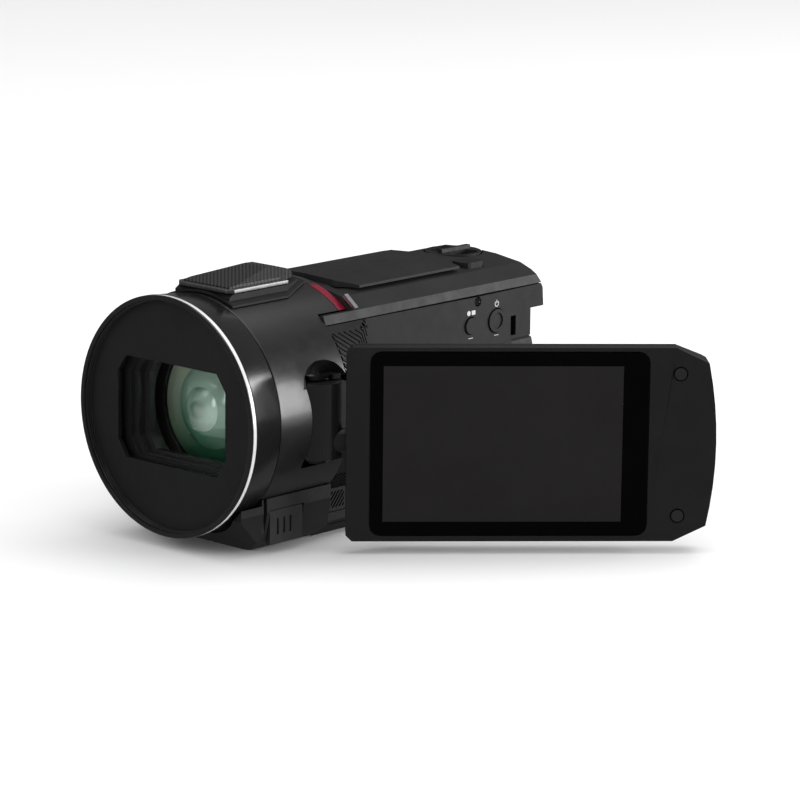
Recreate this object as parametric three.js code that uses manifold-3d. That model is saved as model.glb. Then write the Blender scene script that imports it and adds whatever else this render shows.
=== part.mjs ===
// Compact camcorder with a 62 mm filter ring, a swing-out screen, a powered lens cover and a rear battery.
// Units are millimetres. +Z is up, the lens looks along -Y, and the screen opens on the +X side.
import * as THREE from 'three';
import { mergeVertices } from 'three/addons/utils/BufferGeometryUtils.js';
import Module from 'manifold-3d';

const wasm = await Module();
wasm.setup();

// ---- Driving dimensions. Sub-parts are drawn about the lens axis, with Y = 0 at the ring's front. ----
const LENS_HEIGHT = 36;
const FRONT_Y = -60;
const GAP = 0.3;

const RING_R = 32.5;
const THREAD_R = 31;
const BARREL_R = 31.5;
const BARREL_WALL = 2;
const BARREL_FRONT = 11.7;
const BARREL_END = 38;
const CROWN_END = 46;

const BAY_X = 22;
const BASE_Z = -36;
const WALL = 2;
const CASE_REAR = 113.9;
const RIM_REAR = 121.9;
const BROW_REAR = 127.4;
const SPLIT_Z = 22.2;

const HINGE = { x: 25.5, y: 30, low: -10.6, high: 9.8, r: 8.6 };
const OPEN_ANGLE = Math.PI / 4;
const PANEL = { near: 8.5, far: 106.2, half: 26.15, front: 8.7, thick: 10.5, z: -6.2 };
const GLASS = { near: 14.6, far: 88.3, low: -24.7, high: 25.2 };
const SCREEN = { near: 18.2, far: 81.3, low: -20.8, high: 21.2 };
const SWIVEL_N = PANEL.front - PANEL.thick / 2;

const BATTERY = { x0: -17.5, x1: 16, z0: -34.4, z1: 6.8, y0: 114.2, y1: 130 };
const LEVER = { x: 0, y: 113.5, r: 8 };
const TRIPOD_Y = 78;
const LED_Z = 20.4;

// ---- Solid helpers ----
function solid(geometry) {
  geometry.deleteAttribute('normal');
  geometry.deleteAttribute('uv');
  const merged = mergeVertices(geometry, 1e-4);
  return new wasm.Manifold(new wasm.Mesh({
    numProp: 3,
    vertProperties: new Float32Array(merged.attributes.position.array),
    triVerts: new Uint32Array(merged.index.array),
  }));
}

function toGeometry(manifold) {
  const mesh = manifold.getMesh();
  const geometry = new THREE.BufferGeometry();
  geometry.setAttribute('position', new THREE.BufferAttribute(new Float32Array(mesh.vertProperties), 3));
  geometry.setIndex(new THREE.BufferAttribute(new Uint32Array(mesh.triVerts), 1));
  return geometry;
}

function box(x0, x1, y0, y1, z0, z1) {
  const geometry = new THREE.BoxGeometry(x1 - x0, y1 - y0, z1 - z0);
  geometry.translate((x0 + x1) / 2, (y0 + y1) / 2, (z0 + z1) / 2);
  return solid(geometry);
}

function shapeOf(points) {
  return new THREE.Shape(points.map(([a, b]) => new THREE.Vector2(a, b)));
}

function extrude(points, depth) {
  return new THREE.ExtrudeGeometry(shapeOf(points), { depth, bevelEnabled: false, curveSegments: 6 });
}

// Prisms from a closed outline: along Y from (x, z), along X from (y, z), along Z from (x, y).
function prismY(points, y0, y1) {
  const geometry = extrude(points, y1 - y0);
  geometry.rotateX(Math.PI / 2);
  geometry.translate(0, y1, 0);
  return solid(geometry);
}

function prismX(points, x0, x1) {
  const geometry = extrude(points, x1 - x0);
  geometry.applyMatrix4(new THREE.Matrix4().set(0, 0, 1, 0, 1, 0, 0, 0, 0, 1, 0, 0, 0, 0, 0, 1));
  geometry.translate(x0, 0, 0);
  return solid(geometry);
}

function prismZ(points, z0, z1) {
  const geometry = extrude(points, z1 - z0);
  geometry.translate(0, 0, z0);
  return solid(geometry);
}

function cylinderY(r, y0, y1, x = 0, z = 0, segments = 48, rFront = r) {
  const geometry = new THREE.CylinderGeometry(r, rFront, y1 - y0, segments);
  geometry.translate(x, (y0 + y1) / 2, z);
  return solid(geometry);
}

function cylinderZ(r, z0, z1, x, y, segments = 24) {
  const geometry = new THREE.CylinderGeometry(r, r, z1 - z0, segments);
  geometry.rotateX(Math.PI / 2);
  geometry.translate(x, y, (z0 + z1) / 2);
  return solid(geometry);
}

function cylinderX(r, x0, x1, y, z, segments = 24) {
  const geometry = new THREE.CylinderGeometry(r, r, x1 - x0, segments);
  geometry.rotateZ(-Math.PI / 2);
  geometry.translate((x0 + x1) / 2, y, z);
  return solid(geometry);
}

function ringY(rOut, rIn, y0, y1, segments = 48) {
  return cylinderY(rOut, y0, y1, 0, 0, segments).subtract(cylinderY(rIn, y0 - 1, y1 + 1, 0, 0, segments));
}

function join(...solids) {
  return solids.reduce((all, next) => all.add(next));
}

function cut(base, ...tools) {
  return tools.reduce((left, tool) => left.subtract(tool), base);
}

function roundedRect(x0, x1, y0, y1, r, steps = 3) {
  const points = [];
  const corners = [[x1 - r, y1 - r, 0], [x0 + r, y1 - r, 1], [x0 + r, y0 + r, 2], [x1 - r, y0 + r, 3]];
  for (const [cx, cy, quarter] of corners) {
    for (let i = 0; i <= steps; i += 1) {
      const angle = (quarter + i / steps) * Math.PI / 2;
      points.push([cx + r * Math.cos(angle), cy + r * Math.sin(angle)]);
    }
  }
  return points;
}

// ---- Assembly bookkeeping ----
const camcorder = new THREE.Group();
camcorder.name = 'camcorder';

const FINISH = {
  case: [0x2b2c2c, 0.6], gloss: [0x101012, 0.15], rubber: [0x151515, 0.9], glass: [0x0a1512, 0.05],
  screen: [0x1f1e20, 0.2], steel: [0x9a9c9e, 0.35], chrome: [0xdedede, 0.1], crimson: [0x8c1432, 0.3],
  board: [0x1d4a2c, 0.7], strap: [0x1b1b1c, 0.95], satin: [0x8c8e90, 0.4], contact: [0xc9a04c, 0.3],
};

function add(name, manifold, finish) {
  const [color, roughness] = FINISH[finish];
  const geometry = toGeometry(manifold);
  geometry.translate(0, FRONT_Y, LENS_HEIGHT);
  const mesh = new THREE.Mesh(geometry, new THREE.MeshStandardMaterial({ color, roughness }));
  mesh.name = name;
  camcorder.add(mesh);
}

// Places a solid drawn in screen coordinates (X outward normal, Y along the panel, Z up) at the open angle.
function onPanel(manifold) {
  return manifold.rotate([0, 0, -OPEN_ANGLE * 180 / Math.PI]).translate([HINGE.x, HINGE.y, 0]);
}

// ---- Case ----
const CASE_OUTLINE = [
  [-18, -36], [17.5, -36], [BAY_X, -31.5], [BAY_X, SPLIT_Z], [21.1, 24.7], [17.3, 28], [9.5, 29.7], [0, 30.4],
  [-9.5, 29.7], [-17.5, 27.4], [-24.5, 20.5], [-29, 9], [-30, -4], [-29.6, -20], [-26, -31],
];
const CASE_INNER = [
  [-17.2, -34], [16.7, -34], [BAY_X - WALL, -30.7], [BAY_X - WALL, 21.6], [19.4, 23.6], [16.5, 26.1],
  [9.2, 27.7], [0, 28.4], [-9.2, 27.7], [-16.6, 25.5], [-22.8, 19.4], [-27, 8.6], [-28, -4],
  [-27.6, -19.6], [-24.6, -29.4],
];

function caseShell(y0, y1) {
  return prismY(CASE_OUTLINE, y0, y1).subtract(prismY(CASE_INNER, y0 - 1, y1 + 1));
}

// The barrel is a tube around the lens axis, flared at the ring and at the accent band.
function barrelShell(y0, y1) {
  return ringY(BARREL_R, BARREL_R - BARREL_WALL, y0, y1, 96);
}

// A round pocket about the hinge axis, with a scooped roof above the hinge block.
function hingeWell() {
  const scoop = new THREE.CylinderGeometry(3, HINGE.r + 0.3, 4.6, 32);
  scoop.rotateX(Math.PI / 2);
  scoop.translate(HINGE.x, HINGE.y, HINGE.high + 4);
  return cylinderZ(HINGE.r + 0.3, HINGE.low - 2.1, HINGE.high + 1.8, HINGE.x, HINGE.y, 32)
    .add(box(21.4, 40, HINGE.y, 50, HINGE.low - 2.1, HINGE.high + 1.8))
    .add(solid(scoop))
    .intersect(box(21.4, 40, 10, 50, -20, 20));
}

function addFrontRings() {
  const profile = [
    [30.3, 5.4], [THREAD_R, 4.7], [THREAD_R, 0.3], [31.3, 0], [32.2, 0], [RING_R, 0.3], [RING_R, 0.5], [31.7, 0.5],
    [31.7, 1.9], [RING_R, 1.9], [31.6, 11.4], [30.3, 11.4],
  ];
  const points = profile.map(([r, y]) => new THREE.Vector2(r, y));
  const lathe = new THREE.LatheGeometry([...points, points[0]], 96);
  let ring = solid(lathe);
  if (ring.volume() < 0) {
    ring = solid(new THREE.LatheGeometry([...points, points[0]].reverse(), 96));
  }
  add('filter_ring', ring, 'gloss');
  add('chrome_ring', ringY(RING_R, 32, 0.75, 1.65, 96), 'chrome');
}

const WINDOW = [
  [-20.2, -9.4], [-17, -13.9], [17, -13.9], [20.2, -9.4], [20.2, 9.4], [17, 13.9], [-17, 13.9], [-20.2, 9.4],
];
const PLATE_Y = 2.4;

function addFrontPlate() {
  const plate = cylinderY(THREAD_R - GAP, PLATE_Y, PLATE_Y + 1.2, 0, 0, 96).subtract(prismY(WINDOW, 2, 6));
  add('front_plate', plate, 'case');
}

// Lens cover: an upper and a lower pair of blades, parked behind the plate when the cover is open.
const BLADE_H = 7.3;
function blade(low, y0) {
  const plate = box(-20.8, 20.8, y0, y0 + 0.6, low, low + BLADE_H);
  return plate.intersect(cylinderY(29.9, y0 - 1, y0 + 2, 0, 0, 64));
}

function addLensCover() {
  const park = 14.1;
  const front = PLATE_Y + 1.55;
  const rear = front + 0.9;
  add('cover_blade_upper_rear', blade(park, rear), 'case');
  add('cover_blade_upper_front', blade(park + 0.1, front), 'case');
  add('cover_blade_lower_rear', blade(-park - BLADE_H, rear), 'case');
  add('cover_blade_lower_front', blade(-park - 0.1 - BLADE_H, front), 'case');
}

function addLens() {
  let baffle = cylinderY(29, 5.8, 15, 0, 0, 64);
  const step = (scale) => WINDOW.map(([x, z]) => [x * scale, z * (scale * 0.5 + 0.5)]);
  baffle = cut(baffle, prismY(step(0.94), 5, 7.4), prismY(step(0.86), 5, 9.6), prismY(step(0.77), 5, 11.8));
  baffle = cut(baffle, cylinderY(17, 11.4, 13.6, 0, 0, 48), cylinderY(19.2, 11.8, 16, 0, 0, 48));
  add('lens_baffle', baffle, 'case');
  const dome = new THREE.CylinderGeometry(18.6, 18.6, 4.6, 40);
  dome.translate(0, 14.3, 0);
  const ball = new THREE.SphereGeometry(33, 40, 28);
  ball.translate(0, 44.6, 0);
  add('front_lens', solid(dome).intersect(solid(ball)), 'glass');
  const tube = join(ringY(19, 17, 17.2, 60, 40), ringY(22.5, 17, 17.2, 19.4, 40));
  add('lens_tube', tube, 'case');
  add('zoom_lens_group', cylinderY(15.4, 30, 35, 0, 0, 32), 'glass');
  add('image_sensor', box(-7, 7, 61, 63, -5.4, 5.4), 'screen');
  add('sensor_board', box(-14, 14, 63.3, 64.9, -13, 13), 'board');
}

function addBarrel() {
  let cover = barrelShell(BARREL_FRONT, CROWN_END);
  const keep = box(-40, 40, 0, BARREL_END, -40, 40);
  const crown = box(-40, 40, BARREL_END - 1, CROWN_END + 1, 25, 40);
  cover = cover.intersect(keep.add(crown));
  cover = cut(cover, hingeWell(), box(-30, 30, 10.7, 60, -40, -26.2));
  add('barrel_cover', cover, 'gloss');
  const band = cut(barrelShell(CROWN_END + GAP, 49), box(-40, 40, 40, 60, -40, 25));
  add('accent_band', band, 'crimson');
}

function addHingeBracket() {
  const back = box(19.7, 20.9, 23, 37.4, HINGE.low - 1.6, HINGE.high + 1.6);
  const ears = [HINGE.high + 0.4, HINGE.low - 1.6].map((z) => cylinderZ(4.6, z, z + 1.2, HINGE.x, HINGE.y)
    .add(box(19.7, HINGE.x, 25.4, 34.6, z, z + 1.2)));
  const stopTab = box(26, 31, 31.6, 34.6, HINGE.high + 0.4, HINGE.high + 1.6);
  const holes = cylinderZ(1.9, -20, 20, HINGE.x, HINGE.y);
  add('hinge_bracket', cut(join(back, ...ears, stopTab), holes), 'steel');
  add('hinge_pin', cylinderZ(1.6, HINGE.low - 1.6, HINGE.high + 1.7, HINGE.x, HINGE.y), 'steel');
}

function addHingeBlock() {
  const outline = cylinderZ(HINGE.r, HINGE.low, HINGE.high, 0, 0, 64);
  const block = outline.intersect(prismZ(roundedRect(-2.4, 12, -2, 7.4, 1.2), HINGE.low, HINGE.high));
  const shaft = cylinderY(3.4, 5, 12.4, SWIVEL_N, PANEL.z, 24);
  const bore = cylinderZ(1.9, -20, 20, 0, 0);
  add('hinge_block', onPanel(cut(block.add(shaft), bore)), 'case');
}

// ---- Screen panel, drawn with X = outward normal, Y = along the panel ----
function panelOutline(grow = 0) {
  const { near, far, half, z } = PANEL;
  const n = near - grow;
  const h = half + grow;
  const tip = [];
  for (let i = 0; i <= 8; i += 1) {
    const t = -1 + i / 4;
    tip.push([far + grow - 2.3 * t * t, z + t * (h - 4.2)]);
  }
  return [[n, z - h + 1.6], [n + 1.6, z - h], [95.2, z - h], ...tip, [95.2, z + h], [n + 1.6, z + h], [n, z + h - 1.6]];
}

function addScreenPanel() {
  const { front, thick, near, z } = PANEL;
  const seam = front - 4.2;
  let frame = prismX(panelOutline(), seam + GAP, front);
  const pocket = prismX(roundedRect(GLASS.near, GLASS.far, z + GLASS.low, z + GLASS.high, 3), front - 1.1, front + 1);
  const well = box(front - 3.4, front, SCREEN.near - 1, SCREEN.far + 1, z + SCREEN.low - 1, z + SCREEN.high + 1);
  const sockets = [19.2, -19.2].map((dz) => cylinderX(2, front - 1.2, front + 1, 96.3, z + dz, 16));
  frame = cut(frame, pocket, well, ...sockets);
  const shaftRoom = cylinderY(3.75, near - 1, 12.9, SWIVEL_N, z, 24);
  add('lcd_frame', onPanel(cut(frame, shaftRoom)), 'case');

  const glassShape = roundedRect(GLASS.near + GAP, GLASS.far - GAP, z + GLASS.low + GAP, z + GLASS.high - GAP, 2.7);
  add('lcd_glass', onPanel(prismX(glassShape, front - 0.8, front - 0.1)), 'screen');
  const module = box(front - 3, front - 1.1, SCREEN.near, SCREEN.far, z + SCREEN.low, z + SCREEN.high);
  add('lcd_display', onPanel(module), 'screen');
  const bumpers = { lcd_bumper_upper: 19.2, lcd_bumper_lower: -19.2 };
  for (const [name, dz] of Object.entries(bumpers)) {
    add(name, onPanel(cylinderX(1.6, front - 0.9, front + 0.35, 96.3, z + dz, 16)), 'rubber');
  }

  const back = front - thick;
  const thin = front - 3.6;
  const taper = [[near - 1, back - 1], [22.5, back - 1], [22.5, back], [near, thin], [near - 1, thin]];
  let cover = prismX(panelOutline(), back, seam);
  const bevel = prismZ(taper.map(([d, n]) => [n, d]), z - 40, z + 40);
  cover = cut(cover, bevel);
  const h = PANEL.half;
  const rimCut = prismY([[back - 1, z + h + 1], [back + 6.1, z + h + 1], [back - 1, z + h - 5.5]], -10, 130);
  const rimCut2 = prismY([[back - 1, z - h - 1], [back - 1, z - h + 5.5], [back + 6.1, z - h - 1]], -10, 130);
  const endCut = prismZ([[back - 1, 99], [back + 4, 108], [back - 1, 108]], z - 40, z + 40);
  cover = cut(cover, rimCut, rimCut2, endCut);
  const boss = cylinderY(4.7, near + 0.5, 22, SWIVEL_N, z, 24).intersect(box(back, seam, 0, 40, -40, 40));
  cover = cut(cover.add(boss), shaftRoom);
  const hollow = box(back + 1.6, seam - 1.6, 24, 92, z - 20.6, z + 20.6);
  const cableWay = box(back + 3, seam - 2.2, 12, 25, z - 1.5, z + 1.5);
  add('lcd_back', onPanel(cut(cover, hollow, cableWay)), 'case');
}

// ---- Left case with the screen bay ----
// Slanting slats that cut the finger ribs above and below the hinge.
function ribSlats(z, tilt) {
  const slats = [];
  for (let i = -8; i <= 8; i += 1) {
    slats.push(box(10, 40, -30, 30, -0.42, 0.42).rotate([tilt, 0, 0]).translate([0, 44.5, z + i * 2.1]));
  }
  return join(...slats);
}

// A sloping cheek behind the barrel, cut with ribs 0.8 mm deep.
const CHEEK_FRONT = BARREL_END + GAP;
const CHEEK_END = 54.4;
function cheekWedge(zLow, zHigh) {
  const inner = BAY_X - 0.4;
  const slope = [[inner, CHEEK_FRONT], [30.3, CHEEK_FRONT], [BAY_X, CHEEK_END], [inner, CHEEK_END]];
  return prismZ(slope, zLow, zHigh).intersect(cylinderY(31.2, 30, 60, 0, 0, 96));
}

function cheek(zLow, zHigh, tilt) {
  const line = [[29.6, CHEEK_FRONT - 0.5], [36, CHEEK_FRONT - 0.5], [36, CHEEK_END + 1], [22, CHEEK_END - 1.5]];
  const skin = prismZ(line, zLow - 1, zHigh + 1).intersect(box(BAY_X, 40, 30, 60, -40, 40));
  return cheekWedge(zLow, zHigh).subtract(ribSlats((zLow + zHigh) / 2, tilt).intersect(skin));
}

// The upper ribs run on into the flat side, up to a slanting border.
function sideRibs(zLow, zHigh, tilt) {
  const border = [[BARREL_END, zHigh - 0.6], [43, zHigh - 0.6], [52, zLow], [BARREL_END, zLow]];
  return ribSlats((zLow + zHigh) / 2, tilt).intersect(prismX(border, BAY_X - 0.35, 40))
    .subtract(cheekWedge(zLow - 1, zHigh + 1));
}

function sideOutline(y0) {
  return [[y0, -32.7], [CASE_REAR, -32.7], [CASE_REAR, 7.9], [RIM_REAR, 7.9], [RIM_REAR, 15.6], [BROW_REAR, 15.6],
    [127, 20.8], [126.3, SPLIT_Z - 0.15], [y0, SPLIT_Z - 0.15]];
}

function addLeftCase() {
  const keep = prismX(sideOutline(BARREL_END + GAP), 0.2, 40);
  let shell = caseShell(BARREL_END + GAP, BROW_REAR + 1).intersect(keep);
  const ribLow = HINGE.high + 1.9;
  const ribHigh = SPLIT_Z - 0.15;
  shell = cut(shell, sideRibs(ribLow, ribHigh, -50));
  shell = join(shell, cheek(ribLow, ribHigh, -50), cheek(-22, HINGE.low - 2.2, 50));
  const doors = [
    box(BAY_X - 1.4, 30, 62, 82, -27, 2),
    box(BAY_X - 1.4, 30, 86, 106, -27, -3),
  ];
  const holes = [
    cylinderX(2.6, 10, 30, 96.5, 14, 24),
    cylinderX(3.6, 10, 30, 107.3, 14, 24),
    cylinderX(1.4, 10, 30, 99.4, LED_Z, 16),
    box(10, 30, 113.4, 115.6, 8.8, 14.4),
    prismX(roundedRect(66, 78, -24, -1, 1), 10, 30),
    prismX(roundedRect(89, 103, -24, -6, 1), 10, 30),
    prismX(roundedRect(39.3, 46.9, -29.2, -22.3, 1), BAY_X - 1.2, 30),
  ];
  const grilleHoles = [];
  for (let row = 0; row < 3; row += 1) {
    grilleHoles.push(cylinderX(0.8, 10, 30, 41 + row * 2.1, -25.8, 8));
  }
  add('left_case', cut(shell, ...doors, ...holes, ...grilleHoles), 'case');
}

function addRightCase() {
  const keep = box(-40, -0.2, BARREL_END + GAP, CASE_REAR, -32.7, SPLIT_Z - 0.15);
  const upper = box(-40, -0.2, CASE_REAR - 1, RIM_REAR, 7.9, SPLIT_Z - 0.15);
  let shell = caseShell(BARREL_END + GAP, BROW_REAR).intersect(keep.add(upper));
  shell = cut(shell, box(-40, -20, 44, 47.4, -12, 8), box(-40, -20, 104, 107.4, -12, 8));
  add('right_case', shell, 'case');
}

// ---- Front foot below the barrel ----
function addFrontFoot() {
  const outline = [[-18, -36], [15, -36], [18, -35.4], [23.2, -32], [24.6, -24], [24.4, -19], [-24.4, -19],
    [-26, -28], [-22, -34.6]];
  const profile = [[15, -36], [4, -25], [4, -18], [BARREL_END, -18], [BARREL_END, -36]];
  let foot = prismY(outline, 3, BARREL_END).intersect(prismX(profile, -40, 40));
  foot = cut(foot, cylinderY(RING_R + 0.4, 0, BARREL_FRONT + 0.2, 0, 0, 96));
  foot = cut(foot, cylinderY(BARREL_R + 0.3, 0, 60, 0, 0, 96), box(22.7, 30, 14.7, 27.6, -33.4, -23.6));
  foot = cut(foot, box(-20, 20, 14.5, 60, -34, -10), box(23.6, 30, 12.4, 13.6, -40, -10));
  const parts = foot.decompose();
  parts.sort((a, b) => b.volume() - a.volume());
  add('front_foot', parts[0], 'case');
  let pad = box(23, 24.3, 15, 27.3, -33.1, -23.9);
  for (let i = 0; i < 3; i += 1) {
    pad = pad.subtract(box(23.9, 25, 17.6 + i * 2.4, 18.3 + i * 2.4, -30.6, -26.2));
  }
  add('foot_pad', pad, 'rubber');
}

function addBase() {
  const outline = [[-18, -36], [17.5, -36], [20.5, -33], [-20.5, -33]];
  let plate = prismY(outline, BARREL_END + GAP, CASE_REAR);
  const screwSpots = [[-14, 45], [13, 106]];
  const seats = screwSpots.map(([x, y]) => cylinderZ(1.9, -37, -34.4, x, y, 16));
  plate = cut(plate, cylinderZ(5.3, -37, -30, 0, TRIPOD_Y, 24), cylinderZ(2.2, -37, -30, 0, TRIPOD_Y - 20, 16), ...seats);
  add('base_plate', plate, 'case');
  const bush = cylinderZ(5, -35.8, -28, 0, TRIPOD_Y, 24)
    .subtract(cylinderZ(3.2, -36, -29.5, 0, TRIPOD_Y, 24));
  add('tripod_bush', bush, 'steel');
  screwSpots.forEach(([x, y], i) => {
    const head = cylinderZ(1.6, -35.7, -34.7, x, y, 16);
    const across = box(x - 1, x + 1, y - 0.25, y + 0.25, -36, -35.2);
    const slot = join(across, box(x - 0.25, x + 0.25, y - 1, y + 1, -36, -35.2));
    add(`base_screw_${i + 1}`, head.subtract(slot), 'steel');
  });
}

// ---- Top cover, raised plate, zoom lever and top buttons ----
function topOutline(y0) {
  return [[y0, SPLIT_Z + 0.15], [126.4, SPLIT_Z + 0.15], [124.6, 26], [121.6, 29], [118.6, 32], [y0, 32]];
}

function addTop() {
  const front = 49.3;
  let cover = caseShell(BARREL_END + GAP, BROW_REAR).intersect(prismX(topOutline(BARREL_END + GAP), -40, 40));
  const crown = cylinderY(31.9, 30, front, 0, 0, 96).intersect(box(-19.6, 19.6, 30, front, 20, 40));
  const forward = join(box(-40, 40, 30, front, 24.75, 40), crown);
  cover = cut(cover, forward);
  const shoulders = join(box(-40, -19.9, 30, 60, 0, 40), box(19.9, 40, 30, 60, 0, 40));
  cover = cover.intersect(join(box(-40, 40, front, 140, 0, 40), shoulders));
  const well = cylinderZ(LEVER.r + 0.5, 27.4, 40, LEVER.x, LEVER.y, 32);
  const holes = [
    cylinderZ(2.4, 20, 27.8, LEVER.x, LEVER.y, 16),
    prismZ(roundedRect(9.4, 16, 101.2, 109.8, 2.2), 20, 40),
  ];
  cover = cut(cover, well, ...holes, box(-13.3, 16.7, 52.3, 98.3, 28.9, 40));
  const parts = cover.decompose();
  parts.sort((a, b) => b.volume() - a.volume());
  add('top_cover', parts[0], 'case');

  const section = [[-13, 29.2], [16.2, 29.2], [16.2, 29.9], [9.5, 31.1], [0, 31.7], [-9.5, 31.1], [-13, 30.3]];
  const plan = [[-13, 55.5], [0, 52.7], [10, 53.6], [16.2, 57.5], [16.2, 98], [-13, 98]];
  const plate = prismY(section, 52, 99).intersect(prismZ(plan, 20, 40));
  add('top_plate', plate, 'case');
}

function addTopControls() {
  const { x, y, r } = LEVER;
  let lever = cylinderZ(r, 27.8, 30.2, x, y, 40);
  for (const side of [-1, 1]) {
    const centre = x + side * 4;
    lever = lever.subtract(prismZ(roundedRect(centre - 2.6, centre + 2.6, y - 4.6, y + 4.6, 2.5, 5), 29, 40));
  }
  const ridge = prismY([[x - 1.1, 29.4], [x + 1.1, 29.4], [x + 0.7, 31.2], [x - 0.7, 31.2]], y - 5.6, y + 6.4);
  lever = join(lever, ridge, cylinderZ(2, 25.6, 28, x, y, 16));
  add('zoom_lever', lever, 'case');
  add('photo_button', prismZ(roundedRect(9.7, 15.7, 101.5, 109.5, 1.9), 26.2, 30), 'case');
}

function addSilverTips() {
  const left = [[17.6, 27.9], [21.5, 25.1], [22.2, 25.6], [18.2, 28.8]];
  add('silver_tip', prismY(left, 49.4, 50.8), 'satin');
}

// ---- Rear ----
function addRear() {
  const plugRear = [[121.9, 8.1], [124.4, 15.4], [124.2, 20.6], [121.2, 24.4], [116.4, 27]];
  const plugLine = [[112.8, 8.1], ...plugRear, [112.8, 27]];
  let plug = prismY(CASE_INNER.map(([x, z]) => [x * 0.983, z * 0.985]), 112.8, 125);
  plug = plug.intersect(prismX(plugLine, -40, 40));
  plug = cut(plug, box(-18, 15, 112, 117.5, 9.8, 24.4), cylinderY(4.2, 100, 130, -6, 16, 24));
  const lever = cylinderZ(2.6, 20, 30, LEVER.x, LEVER.y, 16);
  plug = cut(plug, lever, cylinderY(2.2, 119, 130, 7, 16, 16), cylinderY(2.2, 119, 130, 13.4, 16, 16));
  plug = cut(plug, box(2.6, 13.4, 119.3, 130, 9, 12.8));
  add('rear_cover', plug, 'case');
  add('record_button', cylinderY(3.9, 118, 125.4, -6, 16, 24), 'satin');
  let plate = prismY(CASE_INNER.map(([x, z]) => [x * 0.985, z * 0.985 + 0.4]), 109.4, 112.4);
  plate = plate.intersect(box(-40, 40, 100, 130, -32.4, 7.8));
  plate = cut(plate, box(-11, 9, 111, 130, -24, -18));
  add('battery_plate', plate, 'case');
  add('battery_contacts', box(-10, 8, 111.3, 113.6, -23.4, -18.6), 'contact');
  const shape = roundedRect(BATTERY.x0, BATTERY.x1, BATTERY.z0, BATTERY.z1, 3.4);
  let battery = prismY(shape, BATTERY.y0, BATTERY.y1);
  const { x0, x1, z0, z1, y1 } = BATTERY;
  const bevel = prismX([[y1 - 2, z1 + 1], [y1 + 1, z1 - 3], [y1 + 1, z1 + 1]], -40, 40);
  const core = box(x0 + 0.6, x1 - 0.6, 110, 130, z0 + 0.6, z1 - 0.6);
  battery = cut(battery, bevel, box(-40, 40, 118, 118.6, -40, 40).subtract(core));
  add('battery', battery, 'case');
  add('battery_latch', prismX([[119.6, 9.3], [123.4, 9.3], [124.5, 12.5], [119.6, 12.5]], 6, 13), 'satin');
}

// ---- Left side controls, doors and sockets ----
function addSideControls() {
  add('mode_button', cylinderX(2.3, BAY_X - 3, BAY_X + 0.5, 96.5, 14, 24), 'case');
  let power = cylinderX(3.3, BAY_X - 3, BAY_X + 0.4, 107.3, 14, 24);
  power = cut(power, cylinderX(2.3, BAY_X + 0.05, BAY_X + 2, 107.3, 14, 24));
  add('power_button', power, 'case');
  add('status_led', cylinderX(1.1, BAY_X - 2.4, BAY_X - 0.1, 99.4, LED_Z, 12), 'glass');
  const cardDoor = prismX(roundedRect(62.3, 81.7, -26.7, 1.7, 1.2), BAY_X - 1.1, BAY_X);
  add('card_door', cut(cardDoor, box(BAY_X - 0.4, 30, 69, 75, -0.2, 1.2)), 'case');
  const socketDoor = prismX(roundedRect(86.3, 105.7, -26.7, -3.3, 1.2), BAY_X - 1.1, BAY_X);
  add('socket_door', cut(socketDoor, box(BAY_X - 0.4, 30, 93, 99, -5.2, -3.8)), 'rubber');
  const slot = box(9, 19.7, 66.6, 77.4, -23.4, -1.6).subtract(box(10, 30, 68.2, 75.8, -22, -3));
  add('card_slot', slot, 'steel');
  const hdmi = box(12, 19.7, 91, 94.8, -22, -9).subtract(box(13, 30, 91.8, 94, -21.2, -9.8));
  const usb = box(12, 19.7, 97.4, 100.8, -20, -11).subtract(box(13, 30, 98.1, 100.1, -19.3, -11.7));
  add('socket_block', join(hdmi, usb, box(10, 12, 91, 100.8, -22, -9)), 'steel');
  const grille = prismX(roundedRect(39.6, 46.6, -28.9, -22.6, 0.8), BAY_X - 0.9, BAY_X + 0.1);
  const field = prismX(roundedRect(40.5, 45.7, -28, -23.5, 0.4), BAY_X - 2, BAY_X + 2);
  const slots = [];
  for (let i = -4; i <= 4; i += 1) {
    slots.push(box(10, 30, -10, 10, -0.25, 0.25).rotate([50, 0, 0]).translate([0, 43.1, -25.75 + i * 1.5]));
  }
  add('speaker_grille', grille.subtract(join(...slots).intersect(field)), 'case');
  add('main_board', box(-22.6, -21, 56, 104, -24, 10), 'board');
}

// ---- Microphone unit on the barrel ----
const MIC_PLAN = [[-10.2, 14], [10.2, 14], [10.2, 36], [5.4, 45.6], [-5.4, 45.6], [-10.2, 36]];
const FLANGE_PLAN = [[-12.4, 13], [12.4, 13], [12.4, 34], [7, 45.8], [-7, 45.8], [-12.4, 34]];

function micPlan(inset) {
  return MIC_PLAN.map(([x, y]) => [x - Math.sign(x) * inset, y + (y < 20 ? inset : -inset)]);
}

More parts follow.
